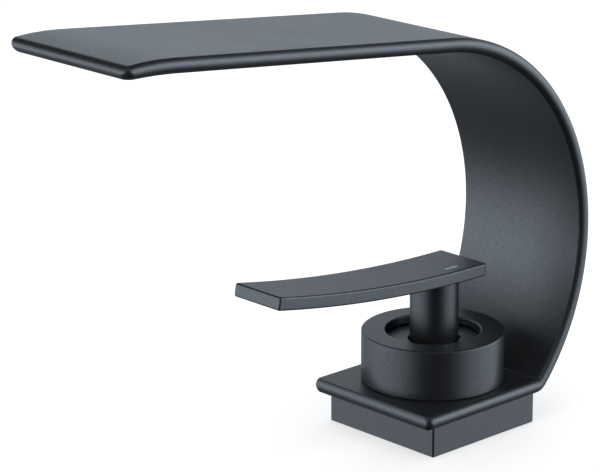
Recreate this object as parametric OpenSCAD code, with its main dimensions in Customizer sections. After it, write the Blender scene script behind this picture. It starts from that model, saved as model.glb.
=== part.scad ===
// Single-lever basin mixer tap with a bent-strip spout that rises behind the lever and reaches out over it.
// Origin: the middle of the block's underside, on the deck, under the cartridge's axis.
// +Z is up, the spout and the lever point along -Y, cold is on the +X side and hot on the -X side.

/* [Base block] */
// Side of the square block that stands on the deck
base_side = 51; // [50:0.5:56]
// Height of the square block
base_h = 11.7; // [11.5:0.1:15]
// Chamfer on the outer edges of the block and the dress ring
edge_break = 0.5; // [0.2:0.1:1]
// Width of the block's rim around the gasket's recess
gasket_rim = 3; // [2:0.5:4]
// Thickness of the deck gasket, which lies flush in its recess
gasket_t = 1.5; // [1:0.1:2]

/* [Spout strip] */
// Width of the strip that makes the plate, the arch and the spout
strip_w = 57.5; // [56:0.5:62]
// Thickness of the strip
strip_t = 4.9; // [4.2:0.1:5.5]
// Distance from the ring's axis forward to the plate's front edge
plate_front = 30.9; // [29:0.1:36]
// Centre-line radius of the small bend between the plate and the arch
bend_r = 3.7; // [3.5:0.1:8]
// Height of the arch's rearmost point above the deck
arch_z = 68; // [64:0.5:72]
// Centre-line radius of the arch
arch_r = 78.6; // [76:0.1:81]
// Direction of the strip, above the horizontal plate, where the crown's radius starts
crown_start = 115; // [100:1:130]
// Centre-line radius of the crown, between the arch and the straight spout
crown_r = 75.6; // [60:0.1:78]
// Rise of the straight spout towards its tip, in degrees
spout_rise = 6.15; // [2:0.05:10]
// Distance from the ring's axis forward to the spout's tip
spout_reach = 158.8; // [130:0.1:185]
// Centre-line radius of the last stretch of the spout, which droops
tip_r = 160; // [120:1:220]
// Turn of the drooping tip, in degrees
tip_drop = 7.2; // [3:0.1:12]
// Height of the flat waterway inside the strip
channel_h = 2; // [1.4:0.1:2.4]
// Solid margin of the strip on each side of the waterway
channel_side = 5.75; // [4.5:0.25:7]

/* [Outlet] */
// Length of the outlet slot across the spout
outlet_w = 42; // [30:0.5:44]
// Width of the outlet slot along the spout
outlet_l = 7; // [5:0.1:8]
// Diameter of each jet hole in the outlet insert
jet_d = 1.8; // [1:0.1:2]

/* [Dress ring] */
// Outer radius of the dress ring
ring_r = 25.2; // [24.6:0.1:27]
// Radius of the hole that the lever's stem comes out of
ring_hole_r = 16.8; // [16:0.1:18.5]
// Thickness of the ring's top lip
lip_t = 3.2; // [2.4:0.1:4]
// Thickness of the sliding cover disc under the lip
cover_t = 1.2; // [0.8:0.1:1.6]

/* [Lever] */
// Width of the lever's blade
blade_w = 22.3; // [20:0.1:26]
// Thickness of the blade
blade_t = 4.7; // [4.2:0.1:6]
// Distance from the ring's axis forward to the blade's tip
blade_front = 82.8; // [60:0.1:100]
// Distance from the ring's axis back to the blade's rear end
blade_rear = 15.3; // [13:0.1:20]
// Radius of the blade's hollow top
blade_r = 517.3; // [300:1:900]
// Distance from the ring's axis back to the lowest point of that hollow
blade_low = 16.2; // [10:0.1:22]
// Height of that lowest point above the dress ring
blade_lift = 23.4; // [20:0.1:30]
// Radius of the lever's stem
stem_r = 8.7; // [8.2:0.1:9.6]
// Offset of the stem behind the ring's axis
stem_back = 0.6; // [0:0.1:1]
// Greatest tilt of the lever, in degrees
lift_max = 20; // [12:1:21]
// Length of the hot and cold marks
mark_l = 6.2; // [3:0.1:9]
// Width of the hot and cold marks
mark_w = 1; // [0.4:0.1:1.2]
// Distance of each mark from the blade's middle
mark_x = 6.8; // [4:0.1:9]
// Distance of the marks' middle behind the ring's axis
mark_back = 1.9; // [0:0.1:6]
// Depth of the marks' inlay
mark_depth = 0.5; // [0.3:0.1:1]

/* [Cartridge] */
// Outer radius of the cartridge's shell
cart_r = 17.5; // [17:0.1:17.8]
// Wall of the cartridge's shell
shell_wall = 1.9; // [1.5:0.1:2.1]
// Thickness of the shell's roof
roof_t = 2; // [1.5:0.1:2.5]
// Thickness of the cartridge's base
cart_base_t = 3.5; // [3:0.1:4.5]
// Thickness of each ceramic disc
disc_t = 3; // [2.4:0.1:3.6]
// Radius of the fixed ceramic disc
disc_r = 13.5; // [13:0.1:13.9]
// Radius of the moving ceramic disc
slider_r = 12.8; // [12.7:0.1:13.2]
// Thickness of the plastic driver on the moving disc
driver_t = 3.3; // [2.8:0.1:4]
// Height of the brass nut that holds the cartridge down
nut_h = 5.8; // [5.4:0.1:7]
// Side of the spindle's square top
spindle_w = 7; // [6:0.1:7.4]
// Height of the pivot pin above the cartridge's shell
pivot_rise = 2.8; // [2.6:0.1:3.2]
// Radius of the pivot pin
pivot_r = 1.2; // [0.9:0.05:1.4]

/* [Water and fixing] */
// Wall radius of each threaded inlet, the root of an M10 x 1 thread
inlet_r = 4.46; // [4:0.01:4.6]
// Depth of the threaded inlets and of the stud's hole
inlet_l = 6; // [5.5:0.1:7]
// Distance of each inlet from the tap's middle plane
inlet_x = 5.5; // [5.3:0.1:5.8]
// Distance of the inlets in front of the ring's axis
inlet_front = 7; // [6.8:0.1:7.2]
// Wall radius of the fixing stud's hole, the root of an M8 thread
stud_r = 3.32; // [2.6:0.01:3.4]
// Distance of the stud's hole in front of the ring's axis
stud_front = 14.5; // [14:0.1:15]
// Radius of the bores that lead the mixed water to the strip
port_r = 2.2; // [1.8:0.1:2.4]

/* [Hidden] */
$fn = 96;

// One overrun serves all cuts.
over = 1;
// A fit between pieces that are screwed or pushed together, and a running clearance between moving ones.
fit = 0.1;
slack = 0.2;
// The fine running clearance of the pivot pin.
pin_slack = 0.05;

// Colours, as red, green and blue.
paint = [0.20, 0.21, 0.23];
brass = [0.72, 0.58, 0.32];
rubber = [0.10, 0.10, 0.10];
plastic = [0.88, 0.88, 0.85];
ceramic = [0.95, 0.95, 0.93];
steel = [0.62, 0.63, 0.65];
blue = [0.30, 0.50, 0.85];
red = [0.80, 0.25, 0.22];

// Heights, from the deck up. The threaded inlets end under the chamber's floor.
floor_web = 1.8;
floor_z = inlet_l + floor_web;
seat_z = floor_z + cart_base_t;
slider_z = seat_z + disc_t;
driver_z = slider_z + disc_t;
carrier_plate_t = 1.2;
carrier_z = driver_z + driver_t + slack;
roof_z = carrier_z + carrier_plate_t + slack;
shell_top = roof_z + roof_t;
tower_top = shell_top + nut_h;
cover_gap = 0.15;
cover_z = tower_top + cover_gap;
lip_z = cover_z + cover_t + cover_gap;
ring_top = lip_z + lip_t;
plate_top = base_h + strip_t;
plate_z = base_h + strip_t / 2;

// Radii of the chamber, from the cartridge outwards. The shell's flange sits on a step in the chamber.
chamber_r = cart_r + fit;
flange_t = 1.2;
flange_r = chamber_r + flange_t;
nut_r = flange_r + fit;
nut_bore_r = nut_r + fit;
tower_wall = 2.5;
tower_r = nut_bore_r + tower_wall;
thread_r = tower_r + fit;
plate_hole_r = thread_r + fit;

// The tilt: the spindle turns about the pivot, the stem's foot clears the cartridge and the cover slides.
pivot_z = shell_top + pivot_rise;
foot_rise = 1.2;
foot_z = pivot_z + foot_rise;
neck_rise = 2.3;
neck_r = 5.5;
journal_r = 10.3;
cover_mid = cover_z + cover_t / 2;
cover_travel = (cover_mid - pivot_z) * tan(lift_max);
cover_r = ring_hole_r + cover_travel + 2 * slack;
cavity_r = cover_r + cover_travel + slack;

// The strip's centre line, in the middle plane: plate, bend, arch, crown, straight spout, drooping tip.
// A direction of 0 runs back along +Y and grows as the strip climbs and comes forward over the lever.
side_swell = 1.6;
end_swell = 0.9;
plate_corner_r = 2.6;
tip_corner_r = 1.5;
bend_y = ring_r - edge_break - slack;
bend_end = acos((arch_z - plate_z - bend_r) / (arch_r - bend_r));
arch_y = bend_y - (arch_r - bend_r) * sin(bend_end);
spout_dir = 180 - spout_rise;
tip_dir = spout_dir + tip_drop;
crown_y = arch_y + (arch_r - crown_r) * sin(crown_start);
crown_z = arch_z - (arch_r - crown_r) * cos(crown_start);
spout_l = (spout_reach - end_swell + crown_y + crown_r * sin(spout_dir)
           - tip_r * (sin(spout_dir) - sin(tip_dir))) / cos(spout_rise);
tip_y = crown_y + (crown_r - tip_r) * sin(spout_dir) - spout_l * cos(spout_rise);
tip_z = crown_z - (crown_r - tip_r) * cos(spout_dir) + spout_l * sin(spout_rise);
channel_w = strip_w - 2 * channel_side;
outlet_share = 0.5;
channel_end_share = 0.85;

// The water's way: each bore from the cartridge, and each port up into the strip beside the tower.
water_r = 2.8;
outlet_back = 4;
gallery_r = 2;
gallery_z = gasket_t + 1.5 + gallery_r;
seal_wall = 1.2;
seal_h = 1;
port_seal_r = port_r + slack;
port_x = base_side / 2 - 2.9 - port_seal_r - seal_wall;
port_wall = 1.9;
port_ring_r = plate_hole_r + port_wall + port_r;
port_y = sqrt(pow(port_ring_r, 2) - pow(port_x, 2));
water_places = [[-inlet_x, -inlet_front], [inlet_x, -inlet_front], [0, outlet_back]];
peg_r = 1.4;
peg_h = 1.1;
peg_x = 12;
peg_y = 8;

// Where the blade's hollow is centred, high above the lever.
blade_y = blade_low;
blade_z = ring_top + blade_lift + blade_r;
blade_under_r = blade_r + blade_t;
blade_turns = [for (back = [-blade_front, blade_rear]) asin((back - blade_low) / blade_r)];
mark_turns = [for (end = [-1, 1]) asin((mark_back + end * mark_l / 2 - blade_low) / blade_r)];
blade_edge = 0.4;
spigot_r = 4;
spigot_h = 2.6;
screw_r = 2.5;
screw_l = 4.2;
screw_z = foot_z + 10;

// Places along the strip's centre line, as [y, z, direction]: every few degrees of each arc.
station_turn = 4;
function on_arc(y, z, r, dir) = [y + r * sin(dir), z - r * cos(dir), dir];
function arc_stations(y, z, r, from_dir, to_dir) =
    let (n = ceil((to_dir - from_dir) / station_turn))
    [for (i = [0:n]) on_arc(y, z, r, from_dir + (to_dir - from_dir) * i / n)];
function stations(start_y, last_dir) = concat(
    [[start_y, plate_z, 0]],
    arc_stations(bend_y, plate_z + bend_r, bend_r, 0, bend_end),
    [for (s = arc_stations(arch_y, arch_z, arch_r, bend_end, crown_start)) if (s[2] > bend_end) s],
    [for (s = arc_stations(crown_y, crown_z, crown_r, crown_start, spout_dir)) if (s[2] > crown_start) s],
    arc_stations(tip_y, tip_z, tip_r, spout_dir, last_dir));

// The bow of an edge, as points [across, out], from one flat face of the strip to the other.
bow_steps = 6;
function bow(swell, out, side) =
    let (r = (pow(strip_t / 2, 2) + pow(swell, 2)) / (2 * swell), turn = asin(strip_t / 2 / r))
    [for (i = [0:bow_steps]) let (a = turn * (2 * i / bow_steps - 1))
        [r * sin(a) * side, (out - r * (1 - cos(a))) * side]];

// A section, as points [out of the strip's outer face, across it], carried along the stations.
module carried(section, path) {
    n = len(section);
    last = len(path) - 1;
    polyhedron(
        points = [for (s = path) for (p = section) [p[1], s[0] + p[0] * sin(s[2]), s[1] - p[0] * cos(s[2])]],
        faces = concat(
            [[for (i = [0:n - 1]) i]],
            [[for (i = [0:n - 1]) last * n + n - 1 - i]],
            [for (k = [0:last - 1]) for (i = [0:n - 1]) let (j = (i + 1) % n)
                each [[k * n + n + j, k * n + j, k * n + i], [k * n + n + i, k * n + n + j, k * n + i]]]));
}

// Turns a drawing to stand in the middle plane at a place: X out of the strip, Y along it, Z across it.
module side_on(place) {
    translate([0, place[0], place[1]]) rotate([90, 0, 90]) rotate([0, 0, place[2] - 90]) children();
}

// What is cut away to bow an end of the strip and to round its two corners.
module end_cut(corner_r) {
    p = bow(end_swell, end_swell, 1);
    n = bow_steps;
    first = 2 * p[0] - p[1];
    last = 2 * p[n] - p[n - 1];
    linear_extrude(strip_w + 2 * over, center = true)
        polygon(concat([first], [for (i = [1:n - 1]) p[i]], [last],
                       [[last[0], end_swell + 2 * over], [first[0], end_swell + 2 * over]]));
    rotate([90, 0, 90]) linear_extrude(strip_t + 2 * over, center = true) difference() {
        translate([end_swell - corner_r, -strip_w / 2 - over]) square([corner_r + over, strip_w + 2 * over]);
        for (side = [-1, 1]) translate([end_swell - corner_r, side * (strip_w / 2 - corner_r)])
            circle(corner_r);
        translate([-corner_r, corner_r - strip_w / 2])
            square([corner_r + end_swell + 2 * over, strip_w - 2 * corner_r]);
    }
}

// A box with every edge chamfered, standing on z = 0.
module chamfered_box(w, h, c) {
    side = [[-w / 2 + c, 0], [w / 2 - c, 0], [w / 2, c], [w / 2, h - c], [w / 2 - c, h], [-w / 2 + c, h],
            [-w / 2, h - c], [-w / 2, c]];
    plan = [for (sx = [-1, 1]) for (p = [[w / 2 - c, w / 2], [w / 2, w / 2 - c], [w / 2, c - w / 2],
            [w / 2 - c, -w / 2]]) sx * p];
    intersection() {
        linear_extrude(h) polygon(plan);
        rotate([90, 0, 0]) linear_extrude(w, center = true) polygon(side);
        rotate([90, 0, 90]) linear_extrude(w, center = true) polygon(side);
    }
}

// A flat ring, such as a washer or a seal.
module flat_ring(inner, outer, h) {
    difference() {
        cylinder(r = outer, h = h);
        translate([0, 0, -over]) cylinder(r = inner, h = h + 2 * over);
    }
}

// A cylinder that lies along X or Y, from its start.
module bore_x(r, length) { rotate([0, 90, 0]) cylinder(r = r, h = length); }
module bore_y(r, length) { rotate([-90, 0, 0]) cylinder(r = r, h = length); }

// The square block and its round tower, cast and turned in one, with the cartridge's chamber, the two
// threaded inlets, the stud's hole and the galleries that take mixed water back to the strip.
gasket_hole_r = 18.8;
gasket_side = base_side - 2 * gasket_rim;
module base_block() {
    color(paint) difference() {
        union() {
            chamfered_box(base_side, base_h, edge_break);
            cylinder(r = tower_r, h = tower_top);
        }
        difference() {
            translate([-gasket_side / 2, -gasket_side / 2, -over])
                cube([gasket_side, gasket_side, gasket_t + over]);
            translate([0, 0, -2 * over]) cylinder(r = gasket_hole_r - fit, h = gasket_t + 3 * over);
        }
        translate([0, 0, floor_z]) cylinder(r = chamber_r, h = tower_top);
        translate([0, 0, shell_top - flange_t]) cylinder(r = nut_bore_r, h = tower_top);
        for (x = [-inlet_x, inlet_x]) translate([x, -inlet_front, -over]) {
            cylinder(r = inlet_r, h = inlet_l + over);
            cylinder(r = water_r, h = floor_z + 2 * over);
        }
        translate([0, -stud_front, -over]) cylinder(r = stud_r, h = inlet_l + over);
        translate([0, outlet_back, gallery_z]) {
            cylinder(r = water_r, h = floor_z);
            bore_y(gallery_r - fit, port_y - outlet_back);
        }
        translate([-port_x, port_y, gallery_z]) bore_x(gallery_r, 2 * port_x);
        for (x = [-port_x, port_x]) translate([x, port_y, 0]) {
            translate([0, 0, gallery_z]) cylinder(r = port_r, h = base_h);
            translate([0, 0, base_h - seal_h]) cylinder(r = port_seal_r + seal_wall, h = base_h);
        }
        for (x = [-peg_x, peg_x]) translate([x, peg_y, floor_z - peg_h - fit])
            cylinder(r = peg_r + fit, h = floor_z);
    }
}

// The rubber gasket in the underside's recess, flush with the block's underside.
module base_gasket() {
    color(rubber) difference() {
        translate([fit - gasket_side / 2, fit - gasket_side / 2, 0])
            cube([gasket_side - 2 * fit, gasket_side - 2 * fit, gasket_t]);
        translate([0, 0, -over]) cylinder(r = gasket_hole_r, h = gasket_t + 2 * over);
    }
}

// The strip: a plate with a hole for the tower, then the arch and the spout, hollow for the water.
module spout_arch() {
    section = concat(bow(side_swell, strip_w / 2, 1), bow(side_swell, strip_w / 2, -1));
    end = on_arc(tip_y, tip_z, tip_r, tip_dir);
    past = end_swell + over;
    way = [for (p = [[-1, 1], [1, 1], [1, -1], [-1, -1]]) [p[0] * channel_h / 2, p[1] * channel_w / 2]];
    color(paint) difference() {
        carried(section, concat(stations(-plate_front - over, tip_dir),
                                [[end[0] + past * cos(tip_dir), end[1] + past * sin(tip_dir), tip_dir]]));
        side_on(end) end_cut(tip_corner_r);
        side_on([end_swell - plate_front, plate_z, 0]) mirror([0, 1, 0]) end_cut(plate_corner_r);
        translate([0, 0, base_h - over]) cylinder(r = plate_hole_r, h = strip_t + 2 * over);
        difference() {
            carried(way, stations(port_y - port_r - fit, spout_dir + tip_drop * channel_end_share));
            translate([0, 0, base_h]) cylinder(r = plate_hole_r + port_wall - slack, h = strip_t);
        }
        for (x = [-port_x, port_x]) translate([x, port_y, base_h - over])
            cylinder(r = port_r, h = strip_t / 2 + over);
        outlet_place() translate([-strip_t, -outlet_l / 2, -outlet_w / 2])
            cube([strip_t, outlet_l, outlet_w]);
    }
}

// The middle of the drooping tip: X up through the strip, Y towards the tip, Z across it.
module outlet_place() {
    side_on(on_arc(tip_y, tip_z, tip_r, spout_dir + tip_drop * outlet_share)) children();
}

// The plastic insert in the outlet slot: a plate of jet holes on four feet that reach the waterway's roof.
jet_pitch = 2 * jet_d;
foot_w = 1.2;
module outlet_insert() {
    wall = (strip_t - channel_h) / 2;
    l = outlet_l - 2 * fit;
    w = outlet_w - 2 * fit;
    rows = floor((w - jet_pitch) / jet_pitch);
    color(plastic) outlet_place() {
        difference() {
            translate([-strip_t / 2 + slack, -l / 2, -w / 2]) cube([wall, l, w]);
            for (row = [0:rows]) for (side = [-1, 1])
                translate([-strip_t, side * l / 4, (row - rows / 2) * jet_pitch]) bore_x(jet_d / 2, strip_t);
        }
        for (y = [-l / 2, l / 2 - foot_w]) for (z = [-w / 2, w / 2 - foot_w])
            translate([-strip_t / 2 + slack, y, z])
                cube([strip_t / 2 + channel_h / 2 - slack - fit, foot_w, foot_w]);
    }
}

// Two seals round the water ports, between the block and the plate.
module spout_seals() {
    color(rubber) for (x = [-port_x, port_x]) translate([x, port_y, base_h - seal_h])
        flat_ring(port_seal_r, port_seal_r + seal_wall - fit / 2, seal_h);
}

// The dress ring screws down over the tower and clamps the plate. Its lip covers the sliding disc.
washer_t = 0.6;
washer_in = thread_r + 1;
washer_out = ring_r - 1;
module dress_ring() {
    c = edge_break;
    color(paint) rotate_extrude() polygon([
        [thread_r, plate_top], [washer_in, plate_top], [washer_in, plate_top + washer_t],
        [washer_out, plate_top + washer_t], [washer_out, plate_top], [ring_r - c, plate_top],
        [ring_r, plate_top + c], [ring_r, ring_top - c], [ring_r - c, ring_top],
        [ring_hole_r + c, ring_top], [ring_hole_r, ring_top - c], [ring_hole_r, lip_z], [cavity_r, lip_z],
        [cavity_r, tower_top], [thread_r, tower_top]]);
}

// The washer in the ring's underside, which keeps the ring off the plate's paint.
module ring_washer() {
    color(rubber) translate([0, 0, plate_top]) flat_ring(washer_in + fit / 2, washer_out - fit / 2, washer_t);
}

// The brass nut that screws into the tower and holds the cartridge down, slotted for its key.
key_w = 3;
key_h = 2;
nut_hole_r = stem_r + 3.8;
module retaining_nut() {
    color(brass) translate([0, 0, shell_top]) difference() {
        flat_ring(nut_hole_r, nut_r, nut_h);
        for (turn = [0:90:270]) rotate([0, 0, turn + 45])
            translate([nut_hole_r - over, -key_w / 2, nut_h - key_h])
                cube([nut_r - nut_hole_r - shell_wall + over, key_w, key_h + over]);
    }
}

// The plastic shell of the cartridge, with the flange that the nut presses down.
module cartridge_shell() {
    color(plastic) difference() {
        union() {
            translate([0, 0, floor_z + seal_h]) cylinder(r = cart_r, h = shell_top - floor_z - seal_h);
            translate([0, 0, shell_top - flange_t]) cylinder(r = flange_r, h = flange_t);
        }
        cylinder(r = cart_r - shell_wall, h = roof_z);
        cylinder(r = journal_r + slack, h = shell_top + over);
    }
}

// The cartridge's base: it carries the fixed disc in a rim and finds its place by two pegs.
base_rim_h = 1.5;
base_r = cart_r - shell_wall - fit;
module cartridge_base() {
    color(plastic) difference() {
        union() {
            translate([0, 0, floor_z]) cylinder(r = cart_r - fit, h = seal_h);
            translate([0, 0, floor_z]) cylinder(r = base_r, h = cart_base_t + base_rim_h);
            for (x = [-peg_x, peg_x]) translate([x, peg_y, floor_z - peg_h])
                cylinder(r = peg_r, h = peg_h + over);
        }
        translate([0, 0, seat_z]) cylinder(r = disc_r + fit, h = disc_t);
        for (p = water_places) translate([p[0], p[1], 0]) {
            cylinder(r = water_r, h = seat_z + over);
            cylinder(r = water_r + seal_wall, h = floor_z + seal_h);
            translate([0, 0, seat_z - seal_h]) cylinder(r = water_r + seal_wall, h = disc_t);
        }
    }
}

// Three seals at each end of the base's bores: on the chamber's floor, and under the fixed disc.
module water_seals(z) {
    color(rubber) for (p = water_places) translate([p[0], p[1], z])
        flat_ring(water_r, water_r + seal_wall - fit, seal_h);
}
module port_seals() { water_seals(floor_z); }
module disc_seals() { water_seals(seat_z - seal_h); }

// The fixed ceramic disc, with one bore for each way of the water.
module fixed_disc() {
    color(ceramic) difference() {
        translate([0, 0, seat_z]) cylinder(r = disc_r, h = disc_t);
        for (p = water_places) translate([p[0], p[1], 0]) cylinder(r = water_r - slack, h = slider_z + over);
    }
}

// The moving ceramic disc: its pocket joins the inlets to the outlet as it slides forward.
pocket_h = 1.8;
pocket_r = 6.3;
slider_back = 1;
module moving_disc() {
    color(ceramic) translate([0, slider_back, slider_z]) difference() {
        cylinder(r = slider_r, h = disc_t);
        translate([0, 0, -over]) cylinder(r = pocket_r, h = pocket_h + over);
    }
}

// The driver on the moving disc: the spindle's ball end pushes it along the carrier's track.
ball_r = 2;
ball_z = driver_z + ball_r + 0.3;
track_w = 16;
module disc_driver() {
    color(plastic) difference() {
        intersection() {
            translate([0, slider_back, driver_z]) cylinder(r = slider_r - slack, h = driver_t);
            translate([-track_w / 2 + slack, -cart_r, driver_z]) cube([track_w - 2 * slack, 2 * cart_r, driver_t]);
        }
        translate([0, 0, driver_z - over]) cylinder(r = ball_r + 0.3, h = driver_t + 2 * over);
    }
}

// The carrier turns in the shell. Its neck stands out of the roof and holds the pivot pin.
neck_gap = 2.2;
neck_slot = 4.5;
carrier_r = cart_r - shell_wall - 1.5 * slack;
module spindle_carrier() {
    color(plastic) difference() {
        union() {
            translate([0, 0, driver_z + slack]) cylinder(r = carrier_r, h = roof_z - slack - driver_z - slack);
            cylinder_from(journal_r, carrier_z, shell_top - slack);
            cylinder_from(neck_r, carrier_z, pivot_z + neck_rise);
        }
        translate([-track_w / 2, -cart_r, driver_z]) cube([track_w, 2 * cart_r, carrier_z - driver_z]);
        translate([-neck_gap, -neck_slot, driver_z])
            cube([2 * neck_gap, 2 * neck_slot, pivot_z + neck_rise - driver_z + over]);
        translate([-neck_r - over, 0, pivot_z]) bore_x(pivot_r + pin_slack / 2, 2 * (neck_r + over));
    }
}
module cylinder_from(r, low, high) { translate([0, 0, low]) cylinder(r = r, h = high - low); }

// The steel pin that the spindle tilts on.
pin_l = 2 * neck_r - 1;
module pivot_pin() {
    color(steel) translate([-pin_l / 2, 0, pivot_z]) bore_x(pivot_r, pin_l);
}

// The spindle: a square top for the stem, a flat tongue through the neck, and a shank to its ball end.
tongue_x = 4;
tongue_y = 5;
tongue_drop = 2.5;
shank_r = 1.7;
hollow_h = 3.6;
spindle_h = 10.2;
hollow_top = foot_z + hollow_h;
module spindle() {
    color(brass) difference() {
        union() {
            translate([-spindle_w / 2, -spindle_w / 2, hollow_top]) cube([spindle_w, spindle_w, spindle_h]);
            translate([-tongue_x / 2, -tongue_y / 2, pivot_z - tongue_drop])
                cube([tongue_x, tongue_y, hollow_top + over - pivot_z + tongue_drop]);
            cylinder_from(shank_r, ball_z, pivot_z - tongue_drop + over / 2);
            translate([0, 0, ball_z]) sphere(r = ball_r);
        }
        translate([-tongue_x, 0, pivot_z]) bore_x(pivot_r + pin_slack, 2 * tongue_x);
    }
}

// The thin disc that slides under the lip with the stem and keeps the hole covered.
cover_ease = 0.1;
cover_long = 0.7;
module cover_disc() {
    color(paint) difference() {
        translate([0, 0, cover_z]) cylinder(r = cover_r, h = cover_t);
        for (end = [-1, 1]) translate([0, stem_back + end * cover_long, cover_z - over])
            cylinder(r = stem_r + cover_ease, h = cover_t + 2 * over);
    }
}

// The lever's round stem: hollow at its foot, a square socket for the spindle, and a spigot into the blade.
stem_wall = 1.7;
module lever_stem() {
    color(paint) difference() {
        union() {
            difference() {
                translate([0, stem_back, foot_z]) cylinder(r = stem_r, h = blade_lift + lip_t + cover_t);
                blade_hollow(blade_under_r);
            }
            translate([0, stem_back, screw_z]) cylinder(r = spigot_r, h = spigot_top - screw_z);
        }
        translate([0, stem_back, foot_z - over]) cylinder(r = stem_r - stem_wall, h = hollow_h + over);
        translate([-spindle_w / 2 - fit, -spindle_w / 2 - fit, foot_z])
            cube([spindle_w + 2 * fit, spindle_w + 2 * fit, hollow_h + spindle_h + fit]);
        translate([0, 0, screw_z]) bore_y(screw_r + pin_slack, stem_back + stem_r + over);
    }
}
// The round space above the blade, which its hollow top, its underside and its marks are turned about.
module blade_hollow(r) {
    translate([0, blade_y, blade_z]) rotate([0, 90, 0]) cylinder(r = r, h = 2 * blade_w, center = true, $fn = 720);
}
spigot_top = blade_z - blade_under_r + spigot_h;

// A stretch of ring about the blade's centre, between two places along the lever.
module blade_sweep(turns) {
    side_on([blade_y, blade_z, turns[0]]) rotate_extrude(angle = turns[1] - turns[0], $fn = 1440) children();
}
module mark_section(x, top, depth) {
    translate([blade_r - top, x - mark_w / 2]) square([depth + top, mark_w]);
}

// The curved blade, bored for the spigot and grooved for the two marks.
module lever_blade() {
    w = blade_w / 2;
    e = blade_edge;
    color(paint) difference() {
        blade_sweep(blade_turns) polygon([
            [blade_r, e - w], [blade_r, w - e], [blade_r + e, w], [blade_under_r - e, w],
            [blade_under_r, w - e], [blade_under_r, e - w], [blade_under_r - e, -w], [blade_r + e, -w]]);
        translate([0, stem_back, screw_z]) cylinder(r = spigot_r + fit / 2, h = spigot_top - screw_z + fit);
        for (x = [-mark_x, mark_x]) blade_sweep(mark_turns) mark_section(x, over, mark_depth);
    }
}

// The grub screw that clamps the stem to the spindle, and the plug that hides it.
hex_r = 1.4;
module grub_screw() {
    color(steel) translate([0, spindle_w / 2, screw_z]) difference() {
        bore_y(screw_r, screw_l);
        translate([0, screw_l / 2, 0]) rotate([-90, 0, 0]) cylinder(r = hex_r, h = screw_l, $fn = 6);
    }
}
plug_set = 0.5;
module screw_plug() {
    start = spindle_w / 2 + screw_l;
    color(paint) translate([0, start, screw_z]) bore_y(screw_r, stem_back + stem_r - plug_set - start);
}

// The coloured inlays that say which side is cold and which is hot.
module cold_mark() { color(blue) blade_sweep(mark_turns) mark_section(mark_x, 0, mark_depth); }
module hot_mark() { color(red) blade_sweep(mark_turns) mark_section(-mark_x, 0, mark_depth); }

base_block();
base_gasket();
spout_arch();
spout_seals();
outlet_insert();
dress_ring();
ring_washer();
retaining_nut();
cartridge_shell();
cartridge_base();
port_seals();
disc_seals();
fixed_disc();
moving_disc();
disc_driver();
spindle_carrier();
pivot_pin();
spindle();
cover_disc();
lever_stem();
lever_blade();
grub_screw();
screw_plug();
cold_mark();
hot_mark();
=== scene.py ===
import bmesh
import bpy
from math import acos, asin, cos, pi, radians, sin
from mathutils import Matrix, Vector


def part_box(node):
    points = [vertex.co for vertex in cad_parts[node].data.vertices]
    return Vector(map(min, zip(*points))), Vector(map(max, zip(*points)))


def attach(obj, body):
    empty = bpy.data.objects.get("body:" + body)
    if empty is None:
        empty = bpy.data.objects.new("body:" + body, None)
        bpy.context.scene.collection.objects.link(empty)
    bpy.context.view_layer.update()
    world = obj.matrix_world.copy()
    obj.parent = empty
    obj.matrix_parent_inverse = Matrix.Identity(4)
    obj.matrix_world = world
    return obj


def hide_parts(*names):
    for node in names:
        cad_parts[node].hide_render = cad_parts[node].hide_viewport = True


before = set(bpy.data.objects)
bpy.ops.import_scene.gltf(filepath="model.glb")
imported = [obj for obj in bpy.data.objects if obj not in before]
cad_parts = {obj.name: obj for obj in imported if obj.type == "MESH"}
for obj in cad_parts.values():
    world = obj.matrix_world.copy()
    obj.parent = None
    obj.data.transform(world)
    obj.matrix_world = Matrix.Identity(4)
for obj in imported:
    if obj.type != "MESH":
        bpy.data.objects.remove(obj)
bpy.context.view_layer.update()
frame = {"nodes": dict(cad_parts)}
nodes = frame["nodes"]

# The camera stands in front of the tap, a little above it and to its right, with a long lens.
# Its place was worked out from the corners of the block and the ellipses of the ring.
picture_w = 600
focal_px = 2747.75
camera_place = (0.636487, -0.65872, 0.347184)
camera_yaw, camera_pitch, camera_roll = radians(46.93), radians(16.92), radians(-0.209)
camera_data = bpy.data.cameras.new("camera")
camera_data.sensor_width = 36.0
camera_data.lens = camera_data.sensor_width * focal_px / picture_w
camera = bpy.data.objects.new("camera", camera_data)
camera.matrix_world = (Matrix.Translation(camera_place)
                       @ Matrix.Rotation(camera_yaw, 4, "Z")
                       @ Matrix.Rotation(pi / 2 - camera_pitch, 4, "X")
                       @ Matrix.Rotation(camera_roll, 4, "Z"))
bpy.context.collection.objects.link(camera)
bpy.context.scene.camera = camera
bpy.context.scene.view_settings.view_transform = "Standard"

# The studio has a white floor and background, which the camera sees as white, and plain soft light.
# Surfaces that reflect see soft boxes at the left, at the right and behind the tap, with dark between
# them, and a faint one high up behind the camera.


def node_material(name):
    """A new material with no nodes yet, its nodes and its links."""
    material = bpy.data.materials.new(name)
    material.use_nodes = True
    material.node_tree.nodes.clear()
    return material, material.node_tree.nodes, material.node_tree.links


world = bpy.data.worlds.new("studio")
bpy.context.scene.world = world
world.use_nodes = True
w_nodes, w_links = world.node_tree.nodes, world.node_tree.links
w_nodes.clear()


def ramp(nodes, links, source, low, high, at_low, at_high):
    """Runs smoothly from one value to another while the source goes from low to high."""
    node = nodes.new("ShaderNodeMapRange")
    node.interpolation_type = "SMOOTHSTEP"
    node.inputs["From Min"].default_value = low
    node.inputs["From Max"].default_value = high
    node.inputs["To Min"].default_value = at_low
    node.inputs["To Max"].default_value = at_high
    links.new(source, node.inputs["Value"])
    return node.outputs["Result"]


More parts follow.
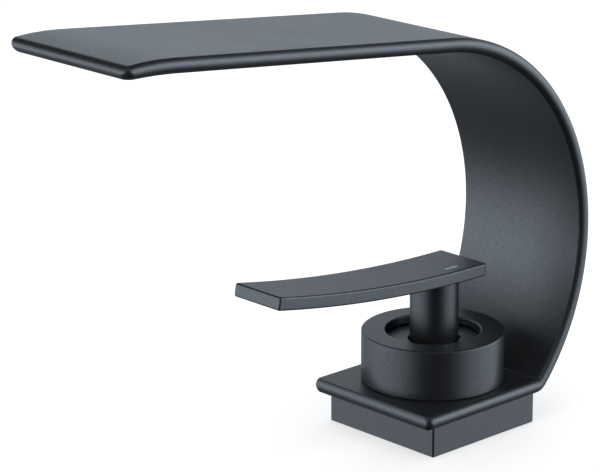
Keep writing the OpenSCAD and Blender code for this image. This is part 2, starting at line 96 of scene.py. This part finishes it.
def along(nodes, links, source, direction):
    """How far a place or direction lies along another direction."""
    node = nodes.new("ShaderNodeVectorMath")
    node.operation = "DOT_PRODUCT"
    node.inputs[1].default_value = direction
    links.new(source, node.inputs[0])
    return node.outputs["Value"]


def product(nodes, links, first, second):
    """Multiplies two values."""
    node = nodes.new("ShaderNodeMath")
    node.operation = "MULTIPLY"
    links.new(first, node.inputs[0])
    links.new(second, node.inputs[1])
    return node.outputs[0]


def total(nodes, links, first, second):
    """Adds two values."""
    node = nodes.new("ShaderNodeMath")
    node.operation = "ADD"
    links.new(first, node.inputs[0])
    links.new(second, node.inputs[1])
    return node.outputs[0]


seen = w_nodes.new("ShaderNodeLightPath")
way = w_nodes.new("ShaderNodeTexCoord")
level = along(w_nodes, w_links, way.outputs["Generated"], (0.0, 0.0, 1.0))


def softbox_glow(bearing, spread, low, bottom, top, high, strength):
    """A softbox at a bearing from straight away: where the sky shows it, and how brightly.

    It fades out to the sides by the spread, and up and down between the two pairs of levels.
    """
    turn = camera_yaw - radians(bearing)
    facing = along(w_nodes, w_links, way.outputs["Generated"], (-sin(turn), cos(turn), 0.0))
    glow = ramp(w_nodes, w_links, facing, spread, 1.0, 0.0, strength)
    glow = product(w_nodes, w_links, glow, ramp(w_nodes, w_links, level, low, bottom, 0.0, 1.0))
    return product(w_nodes, w_links, glow, ramp(w_nodes, w_links, level, top, high, 1.0, 0.0))


left_box = softbox_glow(-102, 0.5, -0.72, -0.05, 0.0, 0.6, 2.1)
right_box = softbox_glow(93, 0.5, -0.75, 0.25, 0.33, 0.62, 2.9)
back_box = softbox_glow(0, -0.3, -2.0, 0.1, 0.1, 0.5, 0.57)
high_box = softbox_glow(180, -0.1, 0.3, 0.55, 0.9, 1.05, 0.4)
sky = w_nodes.new("ShaderNodeBackground")
sky.inputs["Color"].default_value = (0.77, 0.885, 1.0, 1.0)
boxes = total(w_nodes, w_links, total(w_nodes, w_links, left_box, right_box), back_box)
boxes = total(w_nodes, w_links, boxes, high_box)
w_links.new(boxes, sky.inputs["Strength"])
soft = w_nodes.new("ShaderNodeBackground")
soft.inputs["Color"].default_value = (0.96, 0.98, 1.0, 1.0)
soft.inputs["Strength"].default_value = 0.8
white = w_nodes.new("ShaderNodeBackground")
white.inputs["Color"].default_value = (1.0, 1.0, 1.0, 1.0)
pick_glossy = w_nodes.new("ShaderNodeMixShader")
pick_camera = w_nodes.new("ShaderNodeMixShader")
w_out = w_nodes.new("ShaderNodeOutputWorld")
w_links.new(seen.outputs["Is Glossy Ray"], pick_glossy.inputs["Fac"])
w_links.new(soft.outputs[0], pick_glossy.inputs[1])
w_links.new(sky.outputs[0], pick_glossy.inputs[2])
w_links.new(seen.outputs["Is Camera Ray"], pick_camera.inputs["Fac"])
w_links.new(pick_glossy.outputs[0], pick_camera.inputs[1])
w_links.new(white.outputs[0], pick_camera.inputs[2])
w_links.new(pick_camera.outputs[0], w_out.inputs["Surface"])

floor_material, f_nodes, f_links = node_material("white_floor")
floor_path = f_nodes.new("ShaderNodeLightPath")
floor_skin = f_nodes.new("ShaderNodeBsdfDiffuse")
floor_skin.inputs["Color"].default_value = (0.5, 0.5, 0.5, 1.0)
floor_lift = f_nodes.new("ShaderNodeMath")
floor_lift.operation = "MULTIPLY"
floor_lift.inputs[1].default_value = 0.62
floor_glow = f_nodes.new("ShaderNodeEmission")
floor_glow.inputs["Color"].default_value = (1.0, 1.0, 1.0, 1.0)
floor_sum = f_nodes.new("ShaderNodeAddShader")
floor_out = f_nodes.new("ShaderNodeOutputMaterial")
f_links.new(floor_path.outputs["Is Camera Ray"], floor_lift.inputs[0])
f_links.new(floor_lift.outputs[0], floor_glow.inputs["Strength"])
f_links.new(floor_skin.outputs[0], floor_sum.inputs[0])
f_links.new(floor_glow.outputs[0], floor_sum.inputs[1])
f_links.new(floor_sum.outputs[0], floor_out.inputs["Surface"])

floor_half = 3.0
floor_bm = bmesh.new()
bmesh.ops.create_grid(floor_bm, x_segments=1, y_segments=1, size=floor_half)
floor_mesh = bpy.data.meshes.new("floor")
floor_bm.to_mesh(floor_mesh)
floor_bm.free()
floor_mesh.materials.append(floor_material)
floor = bpy.data.objects.new("floor", floor_mesh)
bpy.context.collection.objects.link(floor)
floor.visible_glossy = False


def softbox(name, place, aim, width, height, watts, colour=(1.0, 1.0, 1.0)):
    """An area lamp at a place, turned to what it lights."""
    lamp_data = bpy.data.lights.new(name, "AREA")
    lamp_data.shape = "RECTANGLE"
    lamp_data.size, lamp_data.size_y = width, height
    lamp_data.energy = watts
    lamp_data.color = colour
    lamp = bpy.data.objects.new(name, lamp_data)
    direction = Vector(aim) - Vector(place)
    facing = direction.to_track_quat("-Z", "Y").to_matrix().to_4x4()
    lamp.matrix_world = Matrix.Translation(place) @ facing
    bpy.context.collection.objects.link(lamp)
    return lamp


overhead_place = (0.0, -0.3, 1.3)
overhead_side = 1.2
overhead_watts = 6.0
tap_foot = (0.0, 0.0, 0.05)
overhead = softbox("overhead", overhead_place, tap_foot, overhead_side, overhead_side, overhead_watts)
overhead.visible_glossy = False
rear_place = (-0.438, 0.41, 0.41)
rear_w, rear_h = 1.0, 0.38
rear_watts = 0.8
pale_blue = (0.8, 0.9, 1.0)
above_tap = (0.0, 0.0, 0.2)
rear = softbox("rear", rear_place, above_tap, rear_w, rear_h, rear_watts, pale_blue)
rear.visible_camera = False

# The block is cast brass, milled square and sprayed satin black, with a narrow chamfer round its edges.
# Its tower goes up through the plate, out of sight. The black gasket lies flush in the underside.


def satin_black(name, seed):
    """Satin black spray paint: a fine grain in its relief and its shine, and faint cloudiness."""
    material, tree, links = node_material(name)
    place = tree.new("ShaderNodeTexCoord")
    turned = tree.new("ShaderNodeMapping")
    turned.inputs["Location"].default_value = (seed, 0.5 * seed, 0.0)
    links.new(place.outputs["Object"], turned.inputs["Vector"])
    cloud = tree.new("ShaderNodeTexNoise")
    cloud.inputs["Scale"].default_value = 45.0
    cloud.inputs["Detail"].default_value = 4.0
    links.new(turned.outputs["Vector"], cloud.inputs["Vector"])
    tone = tree.new("ShaderNodeValToRGB")
    tone.color_ramp.elements[0].position = 0.3
    tone.color_ramp.elements[0].color = (0.009, 0.010, 0.012, 1.0)
    tone.color_ramp.elements[1].position = 0.7
    tone.color_ramp.elements[1].color = (0.011, 0.0125, 0.015, 1.0)
    links.new(cloud.outputs["Fac"], tone.inputs["Fac"])
    gloss = tree.new("ShaderNodeMapRange")
    gloss.inputs["To Min"].default_value = 0.34
    gloss.inputs["To Max"].default_value = 0.42
    links.new(cloud.outputs["Fac"], gloss.inputs["Value"])
    peel = tree.new("ShaderNodeTexNoise")
    peel.inputs["Scale"].default_value = 1500.0
    peel.inputs["Detail"].default_value = 2.0
    links.new(turned.outputs["Vector"], peel.inputs["Vector"])
    bump = tree.new("ShaderNodeBump")
    bump.inputs["Strength"].default_value = 0.2
    bump.inputs["Distance"].default_value = 0.00004
    links.new(peel.outputs["Fac"], bump.inputs["Height"])
    paint = tree.new("ShaderNodeBsdfPrincipled")
    grain = tree.new("ShaderNodeMapRange")
    grain.inputs["To Min"].default_value = 1.6
    grain.inputs["To Max"].default_value = 2.08
    links.new(peel.outputs["Fac"], grain.inputs["Value"])
    links.new(grain.outputs["Result"], paint.inputs["IOR"])
    links.new(tone.outputs["Color"], paint.inputs["Base Color"])
    links.new(gloss.outputs["Result"], paint.inputs["Roughness"])
    links.new(bump.outputs["Normal"], paint.inputs["Normal"])
    out = tree.new("ShaderNodeOutputMaterial")
    links.new(paint.outputs["BSDF"], out.inputs["Surface"])
    return material


def give(node, material):
    """Gives a carried-over piece its finish."""
    for slot in nodes[node].material_slots:
        slot.material = material


def moulded(name, dark, light, rough, grain, bump_strength=0.1):
    """Rubber, plastic, ceramic or enamel: a colour that wanders between two tones over a fine grain."""
    material, tree, links = node_material(name)
    place = tree.new("ShaderNodeTexCoord")
    noise = tree.new("ShaderNodeTexNoise")
    noise.inputs["Scale"].default_value = grain
    noise.inputs["Detail"].default_value = 3.0
    links.new(place.outputs["Object"], noise.inputs["Vector"])
    tone = tree.new("ShaderNodeValToRGB")
    tone.color_ramp.elements[0].position = 0.35
    tone.color_ramp.elements[0].color = (*dark, 1.0)
    tone.color_ramp.elements[1].position = 0.65
    tone.color_ramp.elements[1].color = (*light, 1.0)
    links.new(noise.outputs["Fac"], tone.inputs["Fac"])
    bump = tree.new("ShaderNodeBump")
    bump.inputs["Strength"].default_value = bump_strength
    bump.inputs["Distance"].default_value = 0.00005
    links.new(noise.outputs["Fac"], bump.inputs["Height"])
    skin = tree.new("ShaderNodeBsdfPrincipled")
    skin.inputs["Roughness"].default_value = rough
    links.new(tone.outputs["Color"], skin.inputs["Base Color"])
    links.new(bump.outputs["Normal"], skin.inputs["Normal"])
    out = tree.new("ShaderNodeOutputMaterial")
    links.new(skin.outputs["BSDF"], out.inputs["Surface"])
    return material


give("base_block", satin_black("block_paint", 0.0))
black_rubber = moulded("black_rubber", (0.018, 0.018, 0.018), (0.03, 0.03, 0.03), 0.7, 900.0)
give("base_gasket", black_rubber)

# The spout is one strip of brass, bowed along its edges and bent: a plate on the block, a tight bend,
# the arch, a slightly tighter crown, the straight spout and a last stretch that droops and thins a little.
# The plate is clamped between the block and the dress ring.
strip_w = 0.0575
strip_t = 0.0049
plate_front = 0.0309
plate_low = 0.0117
plate_z = plate_low + strip_t / 2
bend_r = 0.0037
bend_y = 0.0245
arch_r = 0.0786
arch_z = 0.068
crown_r = 0.0756
crown_start = radians(115)
spout_rise = radians(6.15)
spout_dir = pi - spout_rise
spout_reach = 0.1588
tip_r = 0.16
tip_drop = radians(7.2)
side_swell = 0.0016
plate_swell = 0.0009
tip_swell = 0.0016
plate_corner_r = 0.0026
tip_corner_r = 0.0021
tip_under_r = 0.0042
tip_extra_l = 0.0011
tip_thinner = 0.0005
tip_thinning_l = 0.016
plate_hole_r = 0.0217
bend_end = acos((arch_z - plate_z - bend_r) / (arch_r - bend_r))
arch_y = bend_y - (arch_r - bend_r) * sin(bend_end)
crown_y = arch_y + (arch_r - crown_r) * sin(crown_start)
crown_z = arch_z - (arch_r - crown_r) * cos(crown_start)
spout_l = -(spout_reach + crown_y + crown_r * sin(spout_dir)
            + tip_r * (sin(spout_dir + tip_drop) - sin(spout_dir))) / cos(spout_dir)
plate_l = plate_front + bend_y
bend_l = bend_r * bend_end
arch_l = arch_r * (crown_start - bend_end)
crown_l = crown_r * (spout_dir - crown_start)


def new_piece(bm, name, material, smooth=True):
    """Makes a mesh object of a bmesh, smooth over its gentle edges."""
    bmesh.ops.recalc_face_normals(bm, faces=bm.faces)
    for face in bm.faces:
        face.smooth = smooth
    mesh = bpy.data.meshes.new(name)
    bm.to_mesh(mesh)
    bm.free()
    mesh.materials.append(material)
    piece = bpy.data.objects.new(name, mesh)
    bpy.context.collection.objects.link(piece)
    return piece


def sharp_edges(bm, least=radians(40)):
    """Edges between two faces that meet at more than an angle."""
    return [e for e in bm.edges if len(e.link_faces) == 2 and e.calc_face_angle() > least]


def even_normals(piece, crease=radians(30)):
    """Keeps flat faces flat beside the rounded edges, and creases crisp."""
    for edge in piece.data.edges:
        edge.use_edge_sharp = False
    bm = bmesh.new()
    bm.from_mesh(piece.data)
    for edge in sharp_edges(bm, crease):
        edge.smooth = False
    bm.to_mesh(piece.data)
    bm.free()
    normals = piece.modifiers.new("even_normals", "WEIGHTED_NORMAL")
    normals.keep_sharp = True
    normals.weight = 80


def on_centre_line(far):
    """The strip's centre line as (y, z, direction), so far from the plate's front edge."""
    if far <= plate_l:
        return far - plate_front, plate_z, 0.0
    far -= plate_l
    bends = ((bend_l, bend_r, 0.0, bend_y, plate_z + bend_r),
             (arch_l, arch_r, bend_end, arch_y, arch_z),
             (crown_l, crown_r, crown_start, crown_y, crown_z))
    for length, radius, first_turn, y, z in bends:
        if far <= length:
            turn = first_turn + far / radius
            return y + radius * sin(turn), z - radius * cos(turn), turn
        far -= length
    y = crown_y + crown_r * sin(spout_dir)
    z = crown_z - crown_r * cos(spout_dir)
    straight = min(far, spout_l)
    y += straight * cos(spout_dir)
    z += straight * sin(spout_dir)
    turn = spout_dir + (far - straight) / tip_r
    y += tip_r * (sin(turn) - sin(spout_dir))
    z -= tip_r * (cos(turn) - cos(spout_dir))
    return y, z, turn


strip_l = plate_l + bend_l + arch_l + crown_l + spout_l + tip_r * tip_drop + tip_extra_l


def end_rows(end, way_out, swell, corner_r, under_r):
    """Rows round an end's two corners: place along the strip, half width, which way the edge faces, its bow,
    and how much rounder the corner is at the face that ends up as the tip's underside.
    """
    corner_steps = 12
    leans = [pi / 2 * step / corner_steps for step in range(corner_steps + 1)]
    return [(end - way_out * corner_r * (1 - cos(lean)), strip_w / 2 - corner_r * (1 - sin(lean)),
             way_out * cos(lean), sin(lean), side_swell * sin(lean) ** 2 + swell * cos(lean) ** 2,
             under_r - corner_r) for lean in leans]


plate_steps = 8
bend_steps = 12
arch_steps = 90
spout_steps = 24
tip_rows_l = 0.008
stops = [plate_l * i / plate_steps for i in range(1, plate_steps)]
stops += [plate_l + bend_l * i / bend_steps for i in range(bend_steps + 1)]
stops += [plate_l + bend_l + (arch_l + crown_l) * i / arch_steps for i in range(1, arch_steps + 1)]
spout_start = stops[-1]
stops += [spout_start + (strip_l - tip_rows_l - spout_start) * i / spout_steps
          for i in range(1, spout_steps + 1)]
rows = end_rows(0.0, -1, plate_swell, plate_corner_r, plate_corner_r)
rows += [(place, strip_w / 2, 0.0, 1.0, side_swell, 0.0) for place in stops]
rows += reversed(end_rows(strip_l, 1, tip_swell, tip_corner_r, tip_under_r))


def bowed_in(swell, out):
    """How far a bowed edge falls back at a height out of the strip's middle."""
    bow_r = ((strip_t / 2) ** 2 + swell ** 2) / (2 * swell)
    return bow_r - (bow_r ** 2 - out ** 2) ** 0.5


edge_steps = 10
strip = bmesh.new()
lines = []
for place, half, ahead, aside, swell, rounder in rows:
    thinner = tip_thinner * max(0.0, 1 - (strip_l - place) / tip_thinning_l) ** 2
    sides = []
    for side in (-1, 1):
        line = []
        for k in range(edge_steps + 1):
            out = strip_t / 2 * sin(pi / 2 * (2 * k / edge_steps - 1))
            back = bowed_in(swell, out)
            under = 0.5 - out / strip_t
            y, z, direction = on_centre_line(place - back * ahead - rounder * under * (1 - ahead))
            out -= thinner * (1 - under)
            line.append(strip.verts.new((side * (half - back * aside - rounder * under * (1 - aside)),
                                         y + out * sin(direction), z - out * cos(direction))))
        sides.append(line)
    lines.append(sides)
for (left, right), (next_left, next_right) in zip(lines, lines[1:]):
    for k in range(edge_steps):
        strip.faces.new((left[k], left[k + 1], next_left[k + 1], next_left[k]))
        strip.faces.new((right[k], next_right[k], next_right[k + 1], right[k + 1]))
    strip.faces.new((left[0], next_left[0], next_right[0], right[0]))
    strip.faces.new((left[-1], right[-1], next_right[-1], next_left[-1]))
for left, right in (lines[0], lines[-1]):
    for k in range(edge_steps):
        strip.faces.new((left[k], right[k], right[k + 1], left[k + 1]))
spout_paint = satin_black("spout_paint", 1.0)
spout = new_piece(strip, "spout", spout_paint)


def carve(piece, *cutters):
    """Cuts bmesh shapes out of a piece, for good."""
    for cutter_bm in cutters:
        mesh = bpy.data.meshes.new("cutter")
        cutter_bm.to_mesh(mesh)
        cutter_bm.free()
        cutter = bpy.data.objects.new("cutter", mesh)
        bpy.context.collection.objects.link(cutter)
        cut = piece.modifiers.new("cut", "BOOLEAN")
        cut.operation = "DIFFERENCE"
        cut.solver = "EXACT"
        cut.object = cutter
        graph = bpy.context.evaluated_depsgraph_get()
        carved = bpy.data.meshes.new_from_object(piece.evaluated_get(graph))
        piece.modifiers.remove(cut)
        piece.data = carved
        bpy.data.objects.remove(cutter)


slot_w = 0.0421
slot_l = 0.0071
slot_deep = 0.0015
slot_inset = 0.0009
slot_far = strip_l - tip_extra_l - slot_inset - tip_r * tip_drop / 2
slot_y, slot_z, slot_dir = on_centre_line(slot_far)
slot_bm = bmesh.new()
slot_place = (Matrix.Translation((0, slot_y, slot_z)) @ Matrix.Rotation(slot_dir, 4, "X")
              @ Matrix.Translation((0, 0, strip_t / 2)))
slot_size = Matrix.Diagonal((slot_w, slot_l, 2 * slot_deep, 1))
bmesh.ops.create_cube(slot_bm, size=1.0, matrix=slot_place @ slot_size)
round_steps = 96
hole_bm = bmesh.new()
bmesh.ops.create_cone(hole_bm, cap_ends=True, segments=round_steps,
                      radius1=plate_hole_r, radius2=plate_hole_r, depth=strip_t * 2,
                      matrix=Matrix.Translation((0, 0, plate_z)))
carve(spout, slot_bm, hole_bm)
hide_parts("spout_arch")
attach(spout, "body")
even_normals(spout, radians(25))

# Two rubber seals join the block's ports to the plate. The jet plate is a black plastic moulding that is
# pressed into the slot under the tip.
give("spout_seals", black_rubber)
give("outlet_insert", moulded("outlet_plastic", (0.02, 0.02, 0.022), (0.03, 0.03, 0.033), 0.5, 600.0))

# The dress ring is turned brass, sprayed like the rest. It screws down over the tower and clamps the
# plate, with a soft washer underneath. Its rims are rounded over by a small radius.
ring_low, ring_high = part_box("dress_ring")
ring_r = ring_high[0]
ring_top = ring_high[2]
ring_bottom = ring_low[2]
ring_inner_r = 0.0216
ring_hole_r = 0.0168
lip_t = 0.0032
cavity_r = 0.0202
cavity_l = 0.0015
ring_edge = 0.0006


def turned(name, profile, material, edge, steps=144, edge_segments=5):
    """A piece turned on a lathe about the Z axis, from (radius, height) corners, with rounded corners."""
    bm = bmesh.new()
    ring = [bm.verts.new((r, 0, z)) for r, z in profile]
    edges = [bm.edges.new((ring[i], ring[(i + 1) % len(ring)])) for i in range(len(ring))]
    bmesh.ops.spin(bm, geom=ring + edges, cent=(0, 0, 0), axis=(0, 0, 1), angle=2 * pi, steps=steps,
                   use_merge=True)
    bmesh.ops.remove_doubles(bm, verts=bm.verts, dist=1e-6)
    bmesh.ops.recalc_face_normals(bm, faces=bm.faces)
    bmesh.ops.bevel(bm, geom=sharp_edges(bm), offset=edge, offset_type="OFFSET", segments=edge_segments,
                    profile=0.5, affect="EDGES", clamp_overlap=False, material=-1)
    return new_piece(bm, name, material)


ring_piece = turned("ring", [(ring_inner_r, ring_bottom), (ring_r, ring_bottom), (ring_r, ring_top),
                             (ring_hole_r, ring_top), (ring_hole_r, ring_top - lip_t),
                             (cavity_r, ring_top - lip_t), (cavity_r, ring_top - lip_t - cavity_l),
                             (ring_inner_r, ring_top - lip_t - cavity_l)],
                    satin_black("ring_paint", 2.0), ring_edge)
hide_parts("dress_ring")
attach(ring_piece, "body")
even_normals(ring_piece)
give("ring_washer", black_rubber)

# The cartridge is out of sight inside the tower: a plastic shell, base, carrier and driver, two lapped
# ceramic discs with rubber seals, a brass spindle on a steel pin, and the brass nut that holds it down.


def metal(name, colour, rough):
    """Machined metal: a plain colour with a fine uneven sheen."""
    material, tree, links = node_material(name)
    place = tree.new("ShaderNodeTexCoord")
    marks = tree.new("ShaderNodeTexNoise")
    marks.inputs["Scale"].default_value = 1500.0
    links.new(place.outputs["Object"], marks.inputs["Vector"])
    bump = tree.new("ShaderNodeBump")
    bump.inputs["Strength"].default_value = 0.15
    bump.inputs["Distance"].default_value = 0.00003
    links.new(marks.outputs["Fac"], bump.inputs["Height"])
    gloss = tree.new("ShaderNodeMapRange")
    gloss.inputs["To Min"].default_value = rough
    gloss.inputs["To Max"].default_value = rough + 0.12
    links.new(marks.outputs["Fac"], gloss.inputs["Value"])
    skin = tree.new("ShaderNodeBsdfPrincipled")
    skin.inputs["Metallic"].default_value = 1.0
    skin.inputs["Base Color"].default_value = (*colour, 1.0)
    links.new(gloss.outputs["Result"], skin.inputs["Roughness"])
    links.new(bump.outputs["Normal"], skin.inputs["Normal"])
    out = tree.new("ShaderNodeOutputMaterial")
    links.new(skin.outputs["BSDF"], out.inputs["Surface"])
    return material


white_plastic = moulded("white_plastic", (0.68, 0.68, 0.64), (0.76, 0.76, 0.72), 0.45, 500.0)
ceramic = moulded("ceramic", (0.84, 0.84, 0.81), (0.88, 0.88, 0.86), 0.15, 300.0, 0.03)
yellow_brass = metal("yellow_brass", (0.76, 0.56, 0.28), 0.25)
bright_steel = metal("bright_steel", (0.62, 0.62, 0.64), 0.3)
for inner in ("cartridge_shell", "cartridge_base", "disc_driver", "spindle_carrier"):
    give(inner, white_plastic)
for inner in ("port_seals", "disc_seals"):
    give(inner, black_rubber)
for inner in ("fixed_disc", "moving_disc"):
    give(inner, ceramic)
for inner in ("retaining_nut", "spindle"):
    give(inner, yellow_brass)
for inner in ("pivot_pin", "grub_screw"):
    give(inner, bright_steel)

# A thin brass disc, sprayed like the rest, lies loose under the ring's lip. It slides with the stem and
# keeps the ring's hole covered.
give("cover_disc", satin_black("cover_paint", 3.0))

# The stem is a turned brass post, sprayed like the rest. Its foot is hollow and sits on the spindle, and
# a plug at the back hides the grub screw that holds it.
stem_r = 0.00862
stem_back = 0.0006
stem_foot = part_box("lever_stem")[0][2]
stem_top = 0.0548
stem_bm = bmesh.new()
bmesh.ops.create_cone(stem_bm, cap_ends=True, segments=round_steps, radius1=stem_r, radius2=stem_r,
                      depth=stem_top - stem_foot,
                      matrix=Matrix.Translation((0, stem_back, (stem_top + stem_foot) / 2)))
stem = new_piece(stem_bm, "stem", satin_black("stem_paint", 4.0))
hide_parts("lever_stem")
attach(stem, "lever")
even_normals(stem)
give("screw_plug", satin_black("plug_paint", 5.0))

# The blade is a bar of brass, bent on a large radius with its hollow side up, with small rounded edges.
# It is brazed onto a spigot at the top of the stem, and the two are sprayed together.
blade_w = 0.0223
blade_t = 0.0047
blade_front = 0.0828
blade_rear = 0.0153
blade_r = 0.5173
blade_low = 0.0162
blade_top_z = 0.0581
blade_centre = Vector((0, blade_low, blade_top_z + blade_r))
blade_corner = 0.0008
blade_edge = 0.0007
blade_steps = 36


def run_arc(bm, edges, centre, turn, steps):
    """Turns an open section about an axis along X."""
    verts = list({v for e in edges for v in e.verts})
    new = bmesh.ops.spin(bm, geom=edges + verts, cent=centre, axis=(1, 0, 0), angle=turn, steps=steps)
    return [g for g in new["geom_last"] if isinstance(g, bmesh.types.BMEdge)]


def bar_about(centre, radius, depth, half_width, back_from, back_to, steps, middle=0.0):
    """A bar turned about an axis along X, from one place along the lever to another."""
    bm = bmesh.new()
    first = asin((back_from - centre.y) / radius)
    last = asin((back_to - centre.y) / radius)
    section = [bm.verts.new((middle + x, centre.y + r * sin(first), centre.z - r * cos(first)))
               for x, r in ((-half_width, radius), (half_width, radius),
                            (half_width, radius + depth), (-half_width, radius + depth))]
    end = bm.faces.new(section)
    edges = run_arc(bm, list(end.edges), centre, last - first, steps)
    bmesh.ops.contextual_create(bm, geom=edges)
    bmesh.ops.recalc_face_normals(bm, faces=bm.faces)
    return bm


blade_bm = bar_about(blade_centre, blade_r, blade_t, blade_w / 2, -blade_front, blade_rear, blade_steps)
upright = [e for e in sharp_edges(blade_bm) if abs(e.verts[0].co.x - e.verts[1].co.x) < 1e-6
           and abs(e.calc_length() - blade_t) < 1e-5]
bmesh.ops.bevel(blade_bm, geom=upright, offset=blade_corner, offset_type="OFFSET", segments=4, profile=0.5,
                affect="EDGES", clamp_overlap=False, material=-1)
bmesh.ops.bevel(blade_bm, geom=sharp_edges(blade_bm), offset=blade_edge, offset_type="OFFSET", segments=5,
                profile=0.5, affect="EDGES", clamp_overlap=False, material=-1)
blade = new_piece(blade_bm, "blade", satin_black("blade_paint", 6.0))
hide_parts("lever_blade")
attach(blade, "lever")
even_normals(blade)

# Two short enamel lines are let into the blade's top, over the stem: pale blue on the cold side and dull
# red on the hot side.
mark_x = 0.0068
mark_w = 0.001
mark_front, mark_rear = -0.0012, 0.005
mark_proud = 0.00004
mark_deep = 0.0004
mark_steps = 2
for name, node, side, dark, light in (
        ("cold_line", "cold_mark", 1, (0.30, 0.40, 0.55), (0.34, 0.45, 0.60)),
        ("hot_line", "hot_mark", -1, (0.13, 0.06, 0.055), (0.16, 0.07, 0.065))):
    bm = bar_about(blade_centre, blade_r - mark_proud, mark_deep, mark_w / 2, mark_front, mark_rear,
                   mark_steps, side * mark_x)
    line = new_piece(bm, name, moulded(name + "_enamel", dark, light, 0.3, 400.0), smooth=False)
    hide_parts(node)
    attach(line, "lever")
